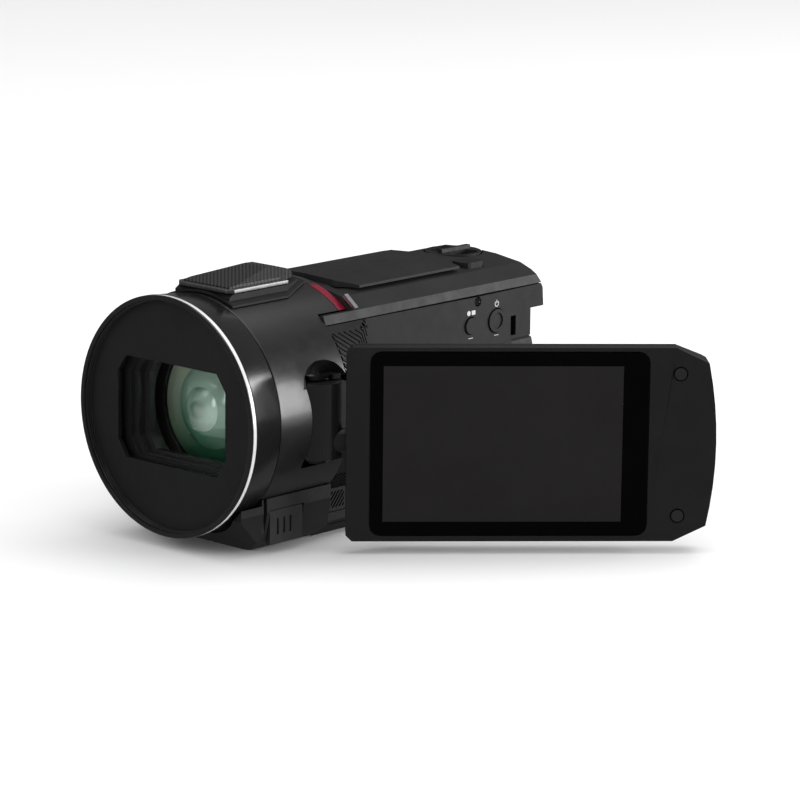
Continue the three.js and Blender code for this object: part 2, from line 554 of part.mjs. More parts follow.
function addMicrophone() {
  const barrel = cylinderY(BARREL_R + 0.25, 0, 60, 0, 0, 96);
  const shoulder = prismX([[12, 26], [46, 26], [46, 30.9], [43, 32.2], [15.4, 32.2], [14, 31.4]], -20, 20);
  const flange = prismZ(FLANGE_PLAN, 26, 34).intersect(cylinderY(BARREL_R + 0.75, 0, 60, 0, 0, 96));
  const base = cut(join(prismZ(MIC_PLAN, 28, 33).intersect(shoulder), flange), barrel, prismZ(micPlan(1.6), 32, 40));
  const parts = base.decompose();
  parts.sort((a, b) => b.volume() - a.volume());
  add('mic_base', parts[0], 'case');
  const sideTrim = (sign) => {
    const plan = [[0.2, 14], [10.4, 14], [10.4, 36], [9, 36], [9, 15.4], [0.2, 15.4]].map(([x, y]) => [x * sign, y]);
    return prismZ(plan, 32.4, 33.5);
  };
  add('mic_trim_left', sideTrim(1), 'satin');
  add('mic_trim_right', sideTrim(-1), 'satin');
  const crownTop = [[45, 33], [41, 35.2], [37.5, 36.2], [34, 36.4], [15.5, 33.8]];
  const crown = prismX([[15.5, 32.5], [45.4, 32.5], ...crownTop], -12, 12);
  const roof = prismY([[-8.7, 32], [8.7, 32], [8.7, 34.2], [4, 36.5], [-4, 36.5], [-8.7, 34.2]], 0, 60);
  const cap = prismZ(micPlan(1.5), 30, 40).intersect(crown).intersect(roof);
  add('mic_grille', cut(cap, box(-4.6, 4.6, 20, 36, 30, 33.7)), 'steel');
}

// ---- Hand strap on the grip side ----
function strapBand(halfLength, midX, endX, thickness) {
  const sides = [[], []];
  for (let i = 0; i <= 14; i += 1) {
    const t = -1 + i / 7;
    const x = endX + (midX - endX) * (1 - t * t) ** 0.8;
    const y = 75.7 + t * halfLength;
    sides[0].push([x - thickness / 2, y]);
    sides[1].push([x + thickness / 2, y]);
  }
  return [...sides[0].reverse(), ...sides[1]];
}

function addStrap() {
  const anchors = { strap_anchor_front: 45.7, strap_anchor_rear: 105.7 };
  for (const [name, y] of Object.entries(anchors)) {
    add(name, box(-33.6, -26, y - 1.3, y + 1.3, -11.6, 7.6), 'steel');
  }
  add('hand_strap', prismZ(strapBand(28.2, -41.5, -32.6, 1.8), -14, 10), 'strap');
  add('strap_pad', prismZ(strapBand(21, -38.3, -34.6, 2.8), -17, 13), 'strap');
}

addFrontRings();
addFrontPlate();
addLensCover();
addLens();
addBarrel();
addHingeBracket();
addHingeBlock();
addScreenPanel();
addLeftCase();
addRightCase();
addFrontFoot();
addBase();
addTop();
addTopControls();
addSilverTips();
addRear();
addSideControls();
addMicrophone();
addStrap();

export default camcorder;
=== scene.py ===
import math

import bmesh
import bpy
from mathutils import Matrix, Vector


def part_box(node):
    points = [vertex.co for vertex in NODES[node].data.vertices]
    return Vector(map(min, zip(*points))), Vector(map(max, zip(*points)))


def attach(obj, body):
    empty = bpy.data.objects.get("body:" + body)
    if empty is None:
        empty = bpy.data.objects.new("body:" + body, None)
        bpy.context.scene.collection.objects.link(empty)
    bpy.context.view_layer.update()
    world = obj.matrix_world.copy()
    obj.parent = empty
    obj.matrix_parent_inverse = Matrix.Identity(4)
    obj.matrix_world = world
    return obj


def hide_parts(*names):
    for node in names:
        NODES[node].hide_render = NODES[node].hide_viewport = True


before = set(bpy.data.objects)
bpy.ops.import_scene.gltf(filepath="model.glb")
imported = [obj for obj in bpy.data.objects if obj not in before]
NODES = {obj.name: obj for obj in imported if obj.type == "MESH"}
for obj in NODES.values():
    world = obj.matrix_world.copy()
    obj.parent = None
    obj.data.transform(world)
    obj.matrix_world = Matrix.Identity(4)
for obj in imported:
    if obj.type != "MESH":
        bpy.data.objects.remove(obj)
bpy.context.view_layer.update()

MM = 0.001

# The lens axis and the ring's front plane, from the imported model. Drawings below are in millimetres from there.
RING_LOW, RING_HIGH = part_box("filter_ring")
AXIS_Z = (RING_LOW.z + RING_HIGH.z) / 2
FRONT_Y = RING_LOW.y


PIN_LOW, PIN_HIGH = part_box("hinge_pin")
PIN_X = (PIN_LOW.x + PIN_HIGH.x) / 2 / MM
PIN_Y = ((PIN_LOW.y + PIN_HIGH.y) / 2 - FRONT_Y) / MM


def place(x, y, z):
    """A point given in millimetres from the ring's centre, in the row frame's metres."""
    return Vector((x * MM, FRONT_Y + y * MM, AXIS_Z + z * MM))


# ---------------------------------------------------------------- materials
def new_material(name):
    material = bpy.data.materials.new(name)
    material.use_nodes = True
    tree = material.node_tree
    tree.nodes.clear()
    out = tree.nodes.new("ShaderNodeOutputMaterial")
    shader = tree.nodes.new("ShaderNodeBsdfPrincipled")
    tree.links.new(shader.outputs["BSDF"], out.inputs["Surface"])
    return material, tree, shader


def noise(tree, scale, detail=4.0, rough=0.6):
    where = tree.nodes.new("ShaderNodeTexCoord")
    texture = tree.nodes.new("ShaderNodeTexNoise")
    texture.inputs["Scale"].default_value = scale
    texture.inputs["Detail"].default_value = detail
    texture.inputs["Roughness"].default_value = rough
    tree.links.new(where.outputs["Object"], texture.inputs["Vector"])
    return texture


def ramp(tree, source, low, high, start=0.3, end=0.7):
    node = tree.nodes.new("ShaderNodeValToRGB")
    node.color_ramp.elements[0].position = start
    node.color_ramp.elements[1].position = end
    node.color_ramp.elements[0].color = (*low, 1)
    node.color_ramp.elements[1].color = (*high, 1)
    tree.links.new(source, node.inputs["Fac"])
    return node


def bump(tree, shader, source, strength, distance):
    node = tree.nodes.new("ShaderNodeBump")
    node.inputs["Strength"].default_value = strength
    node.inputs["Distance"].default_value = distance
    tree.links.new(source, node.inputs["Height"])
    tree.links.new(node.outputs["Normal"], shader.inputs["Normal"])


def spread_roughness(tree, shader, source, rough, low=0.0, high=1.0):
    """Roughness between two values, following a pattern that runs from low to high."""
    node = tree.nodes.new("ShaderNodeMapRange")
    node.inputs["From Min"].default_value = low
    node.inputs["From Max"].default_value = high
    node.inputs["To Min"].default_value = rough[0]
    node.inputs["To Max"].default_value = rough[1]
    tree.links.new(source, node.inputs["Value"])
    tree.links.new(node.outputs["Result"], shader.inputs["Roughness"])


GRAIN_DEPTH = 0.04 * MM
BRUSH_DEPTH = 0.03 * MM
THREAD_DEPTH = 0.2 * MM


def plastic(name, dark, light, rough, grain, grain_scale=2600, specular=0.5, coat=0.0):
    """A moulded plastic or painted finish: slow colour drift, uneven roughness and a fine grain."""
    material, tree, shader = new_material(name)
    drift = noise(tree, 60)
    colour = ramp(tree, drift.outputs["Fac"], dark, light)
    tree.links.new(colour.outputs["Color"], shader.inputs["Base Color"])
    spread_roughness(tree, shader, noise(tree, 340, 6).outputs["Fac"], rough, 0.3, 0.7)
    if grain:
        bump(tree, shader, noise(tree, grain_scale, 2).outputs["Fac"], grain, GRAIN_DEPTH)
    shader.inputs["Specular IOR Level"].default_value = specular
    shader.inputs["Coat Weight"].default_value = coat
    shader.inputs["Coat Roughness"].default_value = 0.06
    return material


def metal(name, dark, light, rough):
    """A satin metal with fine mottling."""
    material, tree, shader = new_material(name)
    texture = noise(tree, 900, 4, 0.5)
    colour = ramp(tree, texture.outputs["Fac"], dark, light)
    tree.links.new(colour.outputs["Color"], shader.inputs["Base Color"])
    shader.inputs["Metallic"].default_value = 1.0
    spread_roughness(tree, shader, texture.outputs["Fac"], rough)
    bump(tree, shader, texture.outputs["Fac"], 0.05, BRUSH_DEPTH)
    return material


def grey(v):
    """A very slightly cool grey."""
    return (v, v, v * 1.02)


CASE = plastic("case_black", grey(0.0075), grey(0.0115), (0.52, 0.62), 0.14, 2600, 0.2)
TOP = plastic("top_black", grey(0.011), grey(0.016), (0.48, 0.58), 0.14, 2600, 0.22)
PANEL = plastic("panel_black", grey(0.0072), grey(0.0098), (0.32, 0.40), 0.06, 2600, 0.35)
GLOSS = plastic("gloss_black", grey(0.004), grey(0.006), (0.29, 0.35), 0.02, 500, 0.6, 0.1)
RINGS = plastic("ring_black", grey(0.006), grey(0.009), (0.16, 0.22), 0.03, 2600, 0.5)
PLATE = plastic("plate_black", grey(0.0062), grey(0.0085), (0.5, 0.6), 0.05, 2600, 0.3)
INNER = plastic("inner_black", grey(0.008), grey(0.011), (0.28, 0.34), 0.0, specular=0.9)
RUBBER = plastic("rubber_black", grey(0.009), grey(0.013), (0.6, 0.75), 0.3, 1500, 0.3)


BLACK_TOP_EDGES = (7.2, 9.4)


def crimson_lacquer():
    """Crimson on both shoulders of the band, black across its top."""
    material, tree, shader = new_material("crimson_lacquer")
    where = tree.nodes.new("ShaderNodeTexCoord")
    parts = tree.nodes.new("ShaderNodeSeparateXYZ")
    tree.links.new(where.outputs["Object"], parts.inputs["Vector"])
    side = tree.nodes.new("ShaderNodeMath")
    side.operation = "ABSOLUTE"
    tree.links.new(parts.outputs["X"], side.inputs[0])
    spread = tree.nodes.new("ShaderNodeMapRange")
    spread.inputs["From Min"].default_value = BLACK_TOP_EDGES[0] * MM
    spread.inputs["From Max"].default_value = BLACK_TOP_EDGES[1] * MM
    tree.links.new(side.outputs[0], spread.inputs["Value"])
    colour = ramp(tree, spread.outputs["Result"], grey(0.004), (0.16, 0.002, 0.018), 0.0, 1.0)
    tree.links.new(colour.outputs["Color"], shader.inputs["Base Color"])
    shader.inputs["Roughness"].default_value = 0.22
    shader.inputs["Coat Weight"].default_value = 0.3
    return material


CRIMSON = crimson_lacquer()
GREEN_BOARD = plastic("board_green", (0.01, 0.06, 0.02), (0.015, 0.09, 0.03), (0.4, 0.5), 0.1)
# Silver trim with a painted reflection: the chrome's shine is painted in as a pale diffuse grey base colour, not
# mirrored.
CHROME_PAINTED_REFLECTION = plastic("chrome_painted_reflection", grey(0.60), grey(0.68), (0.16, 0.24), 0.0, specular=0.9, coat=0.6)
SATIN = metal("satin_grey", (0.17, 0.17, 0.175), (0.22, 0.22, 0.225), (0.36, 0.46))
SILVER = metal("satin_silver", (0.42, 0.42, 0.43), (0.5, 0.5, 0.51), (0.28, 0.36))
STEEL = metal("steel_plain", (0.32, 0.32, 0.33), (0.45, 0.45, 0.46), (0.28, 0.4))
DARK_STEEL = metal("steel_blackened", (0.05, 0.05, 0.052), (0.08, 0.08, 0.082), (0.3, 0.4))
GOLD = metal("gold_plate", (0.75, 0.5, 0.2), (0.85, 0.6, 0.28), (0.2, 0.3))
BEZEL = plastic("bezel_glass", (0.0008, 0.0008, 0.0009), (0.0012, 0.0012, 0.0013), (0.04, 0.07), 0.0,
                specular=0.06)
SCREEN = plastic("screen_dark", (0.0135, 0.0125, 0.013), (0.0155, 0.0145, 0.015), (0.05, 0.08), 0.0,
                 specular=0.06)
MARK = plastic("mark_white", grey(0.45), grey(0.55), (0.5, 0.6), 0.0)


def mic_mesh():
    """A black metal mesh: two crossed diagonal waves press round holes into the cap."""
    material, tree, shader = new_material("mic_mesh_black")
    where = tree.nodes.new("ShaderNodeTexCoord")
    waves = []
    for turn in (45, -45):
        mapping = tree.nodes.new("ShaderNodeMapping")
        mapping.inputs["Rotation"].default_value = (0, 0, math.radians(turn))
        tree.links.new(where.outputs["Object"], mapping.inputs["Vector"])
        wave = tree.nodes.new("ShaderNodeTexWave")
        wave.wave_profile = "SIN"
        wave.inputs["Scale"].default_value = 330
        tree.links.new(mapping.outputs["Vector"], wave.inputs["Vector"])
        waves.append(wave)
    lattice = tree.nodes.new("ShaderNodeMath")
    lattice.operation = "MULTIPLY"
    tree.links.new(waves[0].outputs["Fac"], lattice.inputs[0])
    tree.links.new(waves[1].outputs["Fac"], lattice.inputs[1])
    colour = ramp(tree, lattice.outputs[0], grey(0.001), grey(0.035), 0.12, 0.5)
    tree.links.new(colour.outputs["Color"], shader.inputs["Base Color"])
    shader.inputs["Roughness"].default_value = 0.42
    bump(tree, shader, lattice.outputs[0], 0.6, THREAD_DEPTH)
    return material


def weave(name, dark, light, scale=700):
    """Woven webbing: two crossed sets of threads, with a soft sheen."""
    material, tree, shader = new_material(name)
    where = tree.nodes.new("ShaderNodeTexCoord")
    threads = []
    for direction in ("Y", "Z"):
        wave = tree.nodes.new("ShaderNodeTexWave")
        wave.bands_direction = direction
        wave.inputs["Scale"].default_value = scale
        wave.inputs["Distortion"].default_value = 0.6
        tree.links.new(where.outputs["Object"], wave.inputs["Vector"])
        threads.append(wave)
    cross = tree.nodes.new("ShaderNodeMath")
    cross.operation = "MAXIMUM"
    tree.links.new(threads[0].outputs["Fac"], cross.inputs[0])
    tree.links.new(threads[1].outputs["Fac"], cross.inputs[1])
    colour = ramp(tree, cross.outputs[0], dark, light, 0.2, 0.8)
    tree.links.new(colour.outputs["Color"], shader.inputs["Base Color"])
    shader.inputs["Roughness"].default_value = 0.85
    shader.inputs["Sheen Weight"].default_value = 0.25
    bump(tree, shader, cross.outputs[0], 0.5, THREAD_DEPTH)
    return material


MIC_MESH = mic_mesh()
WEBBING = weave("webbing_black", grey(0.008), grey(0.02))
PAD_CLOTH = weave("pad_cloth", grey(0.010), grey(0.017), 420)

# The CAD nodes that show themselves. The others are stood for by the finer pieces below.
FINISHES = {
    CASE: ["left_case", "right_case", "rear_cover", "battery_plate", "battery", "base_plate", "front_foot",
           "card_door", "speaker_grille", "mode_button", "power_button", "photo_button", "zoom_lever", "mic_base"],
    TOP: ["top_cover", "top_plate"],
    PANEL: ["lcd_frame", "lcd_back", "hinge_block"],
    PLATE: ["front_plate"],
    INNER: ["lens_baffle", "lens_tube", "cover_blade_upper_rear", "cover_blade_upper_front",
            "cover_blade_lower_rear", "cover_blade_lower_front"],
    RUBBER: ["foot_pad", "socket_door", "lcd_bumper_upper", "lcd_bumper_lower"],
    CRIMSON: ["accent_band"],
    GREEN_BOARD: ["sensor_board", "main_board"],
    SATIN: ["record_button", "battery_latch"],
    SILVER: ["silver_tip"],
    STEEL: ["card_slot", "socket_block", "tripod_bush", "base_screw_1", "base_screw_2"],
    DARK_STEEL: ["hinge_bracket", "hinge_pin", "strap_anchor_front", "strap_anchor_rear"],
    MIC_MESH: ["mic_grille"],
    GOLD: ["battery_contacts"],
    BEZEL: ["lcd_glass"],
    SCREEN: ["lcd_display", "image_sensor"],
}


def clear_glass(name, tint):
    material, tree, shader = new_material(name)
    drift = noise(tree, 40)
    colour = ramp(tree, drift.outputs["Fac"], tuple(c * 0.97 for c in tint), tint)
    tree.links.new(colour.outputs["Color"], shader.inputs["Base Color"])
    shader.inputs["Roughness"].default_value = 0.01
    shader.inputs["Transmission Weight"].default_value = 1.0
    shader.inputs["IOR"].default_value = 1.5
    return material


def painted_reflection_element(name, low, high, centre_mm, spread_mm, direction):
    """A coated lens element with a painted reflection: its base colour runs as a gradient across the glass from
    one side to the other.
    """
    material, tree, shader = new_material(name)
    where = tree.nodes.new("ShaderNodeTexCoord")
    across = tree.nodes.new("ShaderNodeVectorMath")
    across.operation = "DOT_PRODUCT"
    across.inputs[1].default_value = Vector(direction).normalized()
    tree.links.new(where.outputs["Object"], across.inputs[0])
    middle = place(*centre_mm).dot(Vector(direction).normalized())
    spread = tree.nodes.new("ShaderNodeMapRange")
    spread.inputs["From Min"].default_value = middle - spread_mm * MM
    spread.inputs["From Max"].default_value = middle + spread_mm * MM
    tree.links.new(across.outputs["Value"], spread.inputs["Value"])
    colour = ramp(tree, spread.outputs["Result"], low, high, 0.0, 1.0)
    tree.links.new(colour.outputs["Color"], shader.inputs["Base Color"])
    spread_roughness(tree, shader, noise(tree, 70, 2).outputs["Fac"], (0.04, 0.14))
    shader.inputs["Coat Weight"].default_value = 0.6
    return material


CLEAR = clear_glass("lens_clear", (0.88, 0.97, 0.92))
# Painted reflections: each inner element's base colour is a gradient standing in for light mirrored in the glass,
# running beige to dark green, pale to deeper green, and dark to near-white.
ELEMENT_BACK_PAINTED_REFLECTION = painted_reflection_element("element_back", (0.85, 0.80, 0.68), (0.05, 0.18, 0.11), (-8, 16, 3), 14,
                              (0.5, 0, -0.87))
ELEMENT_MID_PAINTED_REFLECTION = painted_reflection_element("element_mid", (0.62, 0.74, 0.66), (0.12, 0.30, 0.21), (0, 16, 2), 10,
                             (-0.3, 0, -0.95))
ELEMENT_IN_PAINTED_REFLECTION = painted_reflection_element("element_inner", (0.16, 0.30, 0.23), (0.85, 0.95, 0.88), (1, 14, 0), 4,
                            (0.9, 0, -0.3))
FINISHES[CLEAR] = ["status_led"]
# The zoom group takes the middle element's painted reflection.
FINISHES[ELEMENT_MID_PAINTED_REFLECTION] = ["zoom_lens_group"]


def soften(obj, width, angle=20, segments=2):
    """Rounded edges with shading that keeps the flat faces flat."""
    edge = obj.modifiers.new("soft edges", "BEVEL")
    edge.width = width * MM
    edge.segments = segments
    edge.limit_method = "ANGLE"
    edge.angle_limit = math.radians(angle)
    edge.use_clamp_overlap = True
    flat = obj.modifiers.new("flat faces", "WEIGHTED_NORMAL")
    flat.keep_sharp = True
    flat.weight = 60


def dress(node, material, width):
    """Material, softened edges and smooth shading for one CAD node."""
    obj = NODES[node]
    obj.data.materials.clear()
    obj.data.materials.append(material)
    for polygon in obj.data.polygons:
        polygon.use_smooth = True
    merge = obj.modifiers.new("merge flats", "DECIMATE")
    merge.decimate_type = "DISSOLVE"
    merge.angle_limit = math.radians(1.2)
    soften(obj, width)


USUAL_WIDTH = 0.25
WIDTHS = {"front_plate": 0.15, "mic_grille": 0.5, "speaker_grille": 0.08, "hinge_bracket": 0.1,
          "socket_block": 0.1, "card_slot": 0.1, "base_screw_1": 0.08, "base_screw_2": 0.08, "lcd_glass": 0.08,
          "lcd_frame": 0.5, "lcd_back": 0.5, "hinge_block": 0.5, "battery": 0.6, "zoom_lever": 0.35,
          "photo_button": 0.4, "record_button": 0.4, "battery_latch": 0.4, "left_case": 0.2, "top_cover": 0.3,
          "lens_baffle": 0.15}
for finish, names in FINISHES.items():
    for node_name in names:
        dress(node_name, finish, WIDTHS.get(node_name, USUAL_WIDTH))


# ---------------------------------------------------------------- mesh helpers
def make_mesh(name, points, faces):
    """A mesh object from points in millimetres about the ring's centre."""
    mesh = bpy.data.meshes.new(name)
    mesh.from_pydata([place(*p) for p in points], [], faces)
    form = bmesh.new()
    form.from_mesh(mesh)
    bmesh.ops.remove_doubles(form, verts=form.verts, dist=1e-6)
    bmesh.ops.recalc_face_normals(form, faces=form.faces)
    form.to_mesh(mesh)
    form.free()
    for polygon in mesh.polygons:
        polygon.use_smooth = True
    obj = bpy.data.objects.new(name, mesh)
    bpy.context.scene.collection.objects.link(obj)
    return obj


def lathe(name, profile, segments=192):
    """A closed (radius, y) outline turned about the lens axis."""
    points = []
    for i in range(segments):
        turn = 2 * math.pi * i / segments
        points += [(r * math.sin(turn), y, r * math.cos(turn)) for r, y in profile]
    count = len(profile)
    faces = []
    for i in range(segments):
        for k in range(count):
            here, beyond = i * count, (i + 1) % segments * count
            step = (k + 1) % count
            faces.append((here + k, here + step, beyond + step, beyond + k))
    return make_mesh(name, points, faces)


def loft(name, rings):
    """A closed skin through rings of equal length, capped at both ends."""
    count = len(rings[0])
    points = [p for ring in rings for p in ring]
    faces = [tuple(range(count)), tuple(range(len(points) - count, len(points)))]
    for i in range(len(rings) - 1):
        for k in range(count):
            step = (k + 1) % count
            here, beyond = i * count, (i + 1) * count
            faces.append((here + k, here + step, beyond + step, beyond + k))
    return make_mesh(name, points, faces)


def block(name, x0, x1, y0, y1, z0, z1):
    """A box between two corners."""
    near = [(x0, y0, z0), (x1, y0, z0), (x1, y0, z1), (x0, y0, z1)]
    return loft(name, [near, [(x, y1, z) for x, _, z in near]])


def column(name, x, y, sections, segments=64):
    """An upright round form through (z, radius) sections."""
    def ring(z, r):
        turns = [2 * math.pi * i / segments for i in range(segments)]
        return [(x + r * math.cos(t), y + r * math.sin(t), z) for t in turns]
    return loft(name, [ring(z, r) for z, r in sections])


def carve(obj, cutters, operation="DIFFERENCE"):
    """Cuts, joins or intersects with exact booleans, then keeps the result as the object's own mesh."""
    for cutter in cutters:
        modifier = obj.modifiers.new("carve", "BOOLEAN")
        modifier.operation = operation
        modifier.solver = "EXACT"
        modifier.object = cutter
    result = obj.evaluated_get(bpy.context.evaluated_depsgraph_get())
    mesh = bpy.data.meshes.new_from_object(result)
    obj.modifiers.clear()
    obj.data = mesh
    for cutter in cutters:
        bpy.data.objects.remove(cutter)
    for polygon in mesh.polygons:
        polygon.use_smooth = True


def finish_piece(obj, material, nodes=(), body="camera_body", width=0.0):
    """Material, edges, the body it rides on and the CAD nodes it stands for."""
    obj.data.materials.clear()
    obj.data.materials.append(material)
    if width:
        soften(obj, width)
    else:
        obj.data.set_sharp_from_angle(angle=math.radians(32))
    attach(obj, body)
    if nodes:
        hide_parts(*nodes)


# ---------------------------------------------------------------- lens end
RING_R = (RING_HIGH.x - RING_LOW.x) / 2 / MM
THREAD_R = 31.0
BARREL_R = (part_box("barrel_cover")[1].z - AXIS_Z) / MM
BARREL_FRONT = (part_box("barrel_cover")[0].y - FRONT_Y) / MM
CROWN_END = (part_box("barrel_cover")[1].y - FRONT_Y) / MM
BARREL_END = 38.0


THREAD_TURNS = 5
THREAD_PITCH = 0.75
THREAD_DROP = 0.28
POCKET_R = 8.9
POCKET_WALL = 0.8
POCKET_TOP_GAP = 0.4
POCKET_BASE_GAP = 2.1
LENS_RINGS = 14


def thread_ring():
    """The filter ring with its inner thread, a notch for the bright band and a tapering rear."""
    profile = [(30.3, 11.4), (30.3, 5.4), (THREAD_R, 4.7)]
    root = THREAD_R - THREAD_DROP
    for turn in range(THREAD_TURNS):
        y = 4.35 - turn * THREAD_PITCH
        profile += [(THREAD_R, y), (root, y - 0.25), (root, y - 0.4), (THREAD_R, y - 0.65)]
    profile += [(THREAD_R, 0.3), (31.12, 0.08), (31.35, 0), (32.1, 0), (32.38, 0.1), (RING_R, 0.35)]
    profile += [(RING_R, 0.5), (31.7, 0.5), (31.7, 1.9), (RING_R, 1.9), (32.42, 2.2)]
    profile += [(31.72, 11.0), (31.6, 11.3), (31.5, 11.4)]
    finish_piece(lathe("thread_ring", profile, 256), RINGS, ["filter_ring"])


def chrome_band():
    """The silver band let into the ring's side, with its chrome reflection painted in as a pale grey base colour.
    """
    profile = [(31.95, 0.62), (32.36, 0.6), (32.47, 0.72), (RING_R, 0.9), (RING_R, 1.5), (32.47, 1.68),
               (32.36, 1.8), (31.95, 1.78)]
    finish_piece(lathe("chrome_band", profile, 256), CHROME_PAINTED_REFLECTION, ["chrome_ring"])


def barrel_shell():
    """The gloss barrel, with a lined pocket for the hinge block and a hollow scooped above it."""
    inner = BARREL_R - 2
    profile = [(inner, CROWN_END), (inner, BARREL_FRONT), (BARREL_R - 0.35, BARREL_FRONT),
               (BARREL_R - 0.1, BARREL_FRONT + 0.1), (BARREL_R, BARREL_FRONT + 0.35), (BARREL_R, BARREL_END),
               (BARREL_R, CROWN_END)]
    shell = lathe("barrel_shell", profile, 256)
    block_low, block_high = ((corner.z - AXIS_Z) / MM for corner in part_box("hinge_block"))
    base = block_low - POCKET_BASE_GAP
    ceiling = block_high + POCKET_TOP_GAP
    lining = POCKET_R + POCKET_WALL
    behind = [(base - POCKET_WALL, lining), (block_high + 7.5, lining)]
    backing = column("pocket_backing", PIN_X, PIN_Y, behind, 96)
    within, front, rear = BARREL_R - 0.05, 15, BARREL_END - 0.1
    bounds = lathe("barrel_solid", [(0.0, front), (within, front), (within, rear), (0.0, rear)], 256)
    carve(backing, [bounds], "INTERSECT")
    dent = [(-1, 10.4), (1, 10.2), (2.5, 9.8), (4, 9.3), (5.2, 8.5), (6, 7)]
    carve(shell, [block("cut_rear", -40, 40, BARREL_END, 60, -45, 25),
                  block("cut_foot", -30, 30, 10.7, 60, -40, -26.2)])
    carve(shell, [backing], "UNION")
    carve(shell, [column("cut_pocket", PIN_X, PIN_Y, [(base, POCKET_R), (ceiling, POCKET_R)], 96),
                  column("cut_dent", PIN_X + 10.5, PIN_Y, [(block_high + up, r) for up, r in dent], 128),
                  block("cut_open", 21.4, 40, PIN_Y + 2, 60, base, ceiling)])
    finish_piece(shell, GLOSS, ["barrel_cover"])
    soften(shell, 0.35, 30, 3)


def cap(y_edge, r, radius):
    """The (radius, y) points of a spherical face, from the axis out to its edge at y_edge."""
    rise = radius - math.sqrt(radius ** 2 - r ** 2)
    outs = [r * i / LENS_RINGS for i in range(LENS_RINGS + 1)]
    return [(out, y_edge - rise + radius - math.sqrt(radius ** 2 - out ** 2)) for out in outs]


def dome(name, r, y_edge, radius, thick):
    """A round element: a spherical front over a flat back."""
    return lathe(name, [*cap(y_edge, r, radius), (r, y_edge + thick), (0.0, y_edge + thick)], 128)


def meniscus(name, r, y_edge, radius, thick):
    """A thin curved element: two spherical faces, one behind the other."""
    return lathe(name, cap(y_edge, r, radius) + cap(y_edge + thick, r, radius)[::-1], 160)


def lens_elements():
    """A clear front element and three coated ones behind it, with reflections painted into their base colour."""
    finish_piece(meniscus("front_element", 17.4, 16.4, 34, 1.0), CLEAR, ["front_lens"])
    finish_piece(dome("second_element", 16.8, 18.0, 90, 0.6), ELEMENT_BACK_PAINTED_REFLECTION)
    finish_piece(dome("third_element", 11.4, 17.2, 18, 0.6), ELEMENT_MID_PAINTED_REFLECTION)
    finish_piece(dome("fourth_element", 6.6, 14.6, 11, 0.4), ELEMENT_IN_PAINTED_REFLECTION)


# ---------------------------------------------------------------- microphone trim
LIP_HEIGHT = 1.1
LIP_DEPTH = 1.4
LIP_CORNER = 1.6


def mic_lip():
    """The satin lip round the front and sides of the microphone's top edge, in one piece."""
    low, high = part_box("mic_trim_left")
    reach = high.x / MM
    y0 = (low.y - FRONT_Y) / MM
    y1 = (high.y - FRONT_Y) / MM
    top = (high.z - AXIS_Z) / MM
    base = top - LIP_HEIGHT
    near = reach - LIP_CORNER
    rings = []
    for x, y in [(-reach, y1), (-reach, y0 + LIP_CORNER), (-near, y0), (near, y0), (reach, y0 + LIP_CORNER),
                 (reach, y1)]:
        side = 1 if x > 0 else -1
        at_side = abs(x) == reach
        deep_x = x - side * LIP_DEPTH * (1 if at_side else 0.4)
        deep_y = y + (0 if at_side and y == y1 else LIP_DEPTH * (0.4 if at_side else 1))
        rings.append([(x, y, base), (x, y, top), (deep_x, deep_y, top), (deep_x, deep_y, base)])
    finish_piece(loft("mic_lip", rings), SATIN, ["mic_trim_left", "mic_trim_right"], width=0.2)


# ---------------------------------------------------------------- screen picture and key marks
ROOT_HALF = math.sqrt(0.5)
PICTURE_NEAR = 18.2
PICTURE_FAR = 81.3
PICTURE_FACE = 8.62
SIDE_X = 22.01
MARK_THICK = 0.06


def on_panel(along, out, up):
    """A point on the half-open panel: along it, out from the pin and up, in millimetres."""
    return (PIN_X + (along + out) * ROOT_HALF, PIN_Y + (along - out) * ROOT_HALF, up)


def picture_area():
    """The picture area of the display, a hair in front of the glass with its black border."""
    low, high = ((corner.z - AXIS_Z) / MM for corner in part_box("lcd_display"))
    outline = [(PICTURE_NEAR, low), (PICTURE_FAR, low), (PICTURE_FAR, high), (PICTURE_NEAR, high)]
    faces = (PICTURE_FACE - 0.3, PICTURE_FACE)
    rings = [[on_panel(along, face, up) for along, up in outline] for face in faces]
    finish_piece(loft("picture_area", rings), SCREEN, body="lcd_panel", width=0.02)


def flat_mark(name, strokes):
    """Small printed strokes on the left side, each a closed ribbon of (y, z) points."""
    verts = []
    faces = []
    for outline in strokes:
        start = len(verts)
        count = len(outline)
        for x in (SIDE_X, SIDE_X + MARK_THICK):
            verts += [(x, y, z) for y, z in outline]
        faces.append(tuple(start + k for k in range(count)))
        faces.append(tuple(start + count + k for k in range(count)))
        for k in range(count):
            step = (k + 1) % count
            faces.append((start + k, start + step, start + count + step, start + count + k))
    finish_piece(make_mesh(name, verts, faces), MARK)


def bar(y, z, long, high):
    """A rectangle from its lower corner."""
    return [(y, z), (y + long, z), (y + long, z + high), (y, z + high)]


def arc(y, z, r, width, start, end):
    """A round stroke between two angles in degrees."""
    turns = [math.radians(start + (end - start) * i / 14) for i in range(15)]
    outer = [(y + r * math.cos(t), z + r * math.sin(t)) for t in turns]
    inner = [(y + (r - width) * math.cos(t), z + (r - width) * math.sin(t)) for t in reversed(turns)]
    return outer + inner


def key_place(node):
    """The middle, bottom and top of a side key, as (y, low z, high z)."""
    low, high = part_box(node)
    return ((low.y + high.y) / 2 - FRONT_Y) / MM, (low.z - AXIS_Z) / MM, (high.z - AXIS_Z) / MM


